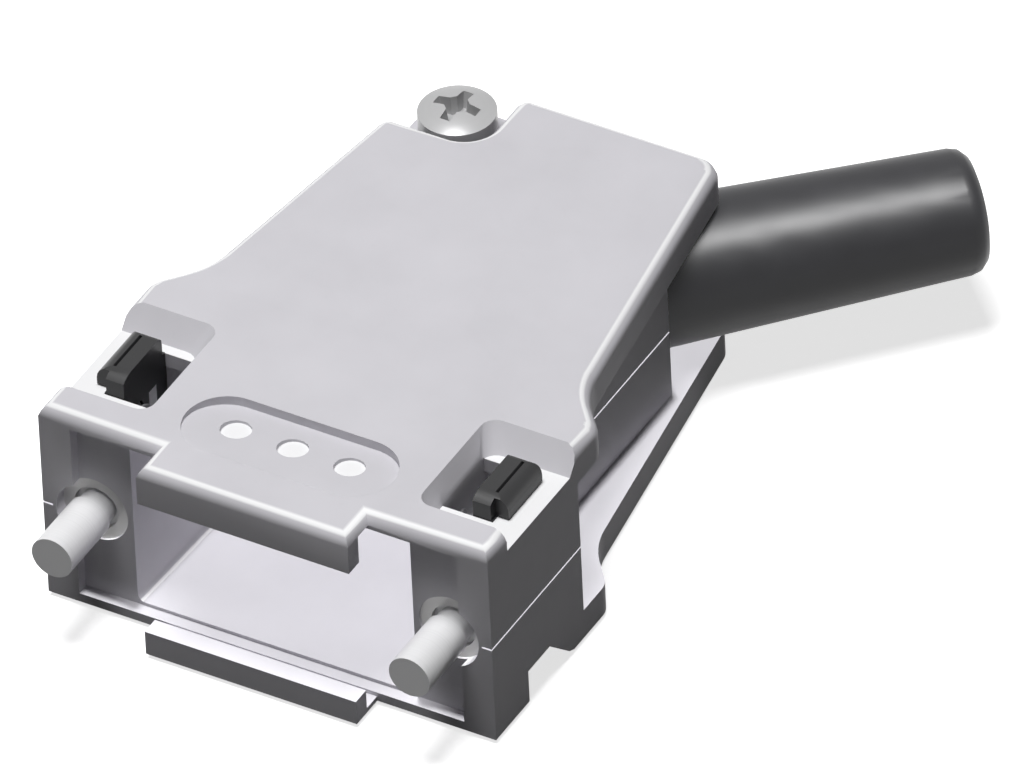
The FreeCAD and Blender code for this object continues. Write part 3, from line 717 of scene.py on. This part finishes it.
class HOOD_OT_studio(bpy.types.Operator):
    """Set up the floor, the lamps, the world and the camera"""

    bl_idname = "hood.studio"
    bl_label = "Studio"

    def execute(self, context):
        scene = context.scene
        studio = scene.hood_studio
        scene.unit_settings.system = "METRIC"
        scene.view_settings.view_transform = "Standard"
        self.floor(studio)
        self.world(studio)
        lamp("key", KEY_PLACE, KEY_SIZE, studio.key_power)
        lamp("fill", FILL_PLACE, FILL_SIZE, studio.fill_power)
        lamp("under", UNDER_PLACE, UNDER_SIZE, studio.under_power, ("bottom_shell",), True)
        lamp("sheen", SHEEN_PLACE, SHEEN_SIZE, studio.sheen_power, ("bend_relief_boot",))
        self.camera(scene, studio)
        return {"FINISHED"}

    def floor(self, studio):
        """A pale floor that shows white, keeps the part's shadow and is clear from below."""
        mesh = bmesh.new()
        level = CAD_BOX[0][2] - FLOOR_GAP
        corners = ((-1, -1), (1, -1), (1, 1), (-1, 1))
        mesh.faces.new([mesh.verts.new((x * FLOOR_HALF, y * FLOOR_HALF, level)) for x, y in corners])
        data = bpy.data.meshes.new("floor")
        mesh.to_mesh(data)
        mesh.free()
        floor = bpy.data.objects.new("floor", data)
        bpy.context.scene.collection.objects.link(floor)

        material = bpy.data.materials.new("pale_floor")
        material.use_nodes = True
        look = Look(material.node_tree)
        shown = seen_or_mirrored(look)
        tone = look.mix(shown, solid((studio.floor_bounce,) * 3), solid((FLOOR_SHADE,) * 3))
        matt = look.node("ShaderNodeBsdfDiffuse", None, {"Color": tone})
        glow = look.node("ShaderNodeEmission", None, {"Color": (1, 1, 1, 1), "Strength": shown * studio.floor_glow})
        both = look.node("ShaderNodeAddShader", None, {0: matt, 1: glow})
        below = look.node("ShaderNodeNewGeometry", out="Backfacing")
        nothing = look.node("ShaderNodeBsdfTransparent")
        one_sided = look.node("ShaderNodeMixShader", None, {0: below, 1: both, 2: nothing})
        look.node("ShaderNodeOutputMaterial", None, {"Surface": one_sided})
        data.materials.append(material)

    def world(self, studio):
        """White to the camera and in reflections, and dim as a light."""
        world = bpy.data.worlds.new("studio")
        bpy.context.scene.world = world
        world.use_nodes = True
        look = Look(world.node_tree)
        shown = seen_or_mirrored(look)
        strength = studio.ambient + (1.0 - studio.ambient) * shown
        backdrop = look.node("ShaderNodeBackground", None, {"Color": (1, 1, 1, 1), "Strength": strength})
        look.node("ShaderNodeOutputWorld", None, {"Surface": backdrop})

    def camera(self, scene, studio):
        """Looks along the photograph's parallel view through a long lens."""
        data = bpy.data.cameras.new("camera")
        data.sensor_width = 36.0
        data.lens = data.sensor_width * studio.camera_distance / studio.view_width
        data.clip_start = 0.1
        data.clip_end = 10.0
        camera = bpy.data.objects.new("camera", data)
        scene.collection.objects.link(camera)
        level = math.cos(VIEW_ELEVATION)
        back = Vector((math.sin(VIEW_AZIMUTH) * level, -math.cos(VIEW_AZIMUTH) * level, math.sin(VIEW_ELEVATION)))
        right = Vector((0, 0, 1)).cross(back).normalized()
        up = back.cross(right)
        tilted_right = right * math.cos(VIEW_ROLL) + up * math.sin(VIEW_ROLL)
        tilted_up = back.cross(tilted_right)
        camera.matrix_world = Matrix((tilted_right, tilted_up, back)).transposed().to_4x4()
        camera.location = LOOK_AT + back * studio.camera_distance
        scene.camera = camera


class HOOD_PT_panel(bpy.types.Panel):
    """Lists the hood's settings and steps in the sidebar"""

    bl_idname = "HOOD_PT_panel"
    bl_label = "Connector hood"
    bl_space_type = "VIEW_3D"
    bl_region_type = "UI"
    bl_category = "Hood"

    def draw(self, context):
        for group in (context.scene.hood_finish, context.scene.hood_sizes, context.scene.hood_studio):
            box = self.layout.box()
            for name in group.__annotations__:
                box.prop(group, name)
        for step in STEPS:
            self.layout.operator(step.bl_idname)


STEPS = (HOOD_OT_castings, HOOD_OT_latch_metal, HOOD_OT_cover_screw, HOOD_OT_buttons, HOOD_OT_springs,
         HOOD_OT_boot, HOOD_OT_cable_parts, HOOD_OT_studio)
GROUPS = {"hood_finish": HoodFinish, "hood_sizes": HoodSizes, "hood_studio": HoodStudio}


def register():
    for group in GROUPS.values():
        bpy.utils.register_class(group)
    for name, group in GROUPS.items():
        setattr(bpy.types.Scene, name, PointerProperty(type=group))
    for step in STEPS:
        bpy.utils.register_class(step)
    bpy.utils.register_class(HOOD_PT_panel)


def unregister():
    bpy.utils.unregister_class(HOOD_PT_panel)
    for step in reversed(STEPS):
        bpy.utils.unregister_class(step)
    for name in GROUPS:
        delattr(bpy.types.Scene, name)
    for group in reversed(list(GROUPS.values())):
        bpy.utils.unregister_class(group)


def main():
    register()
    for step in STEPS:
        group, name = step.bl_idname.split(".")
        getattr(getattr(bpy.ops, group), name)()


if __name__ == "__main__":
    main()
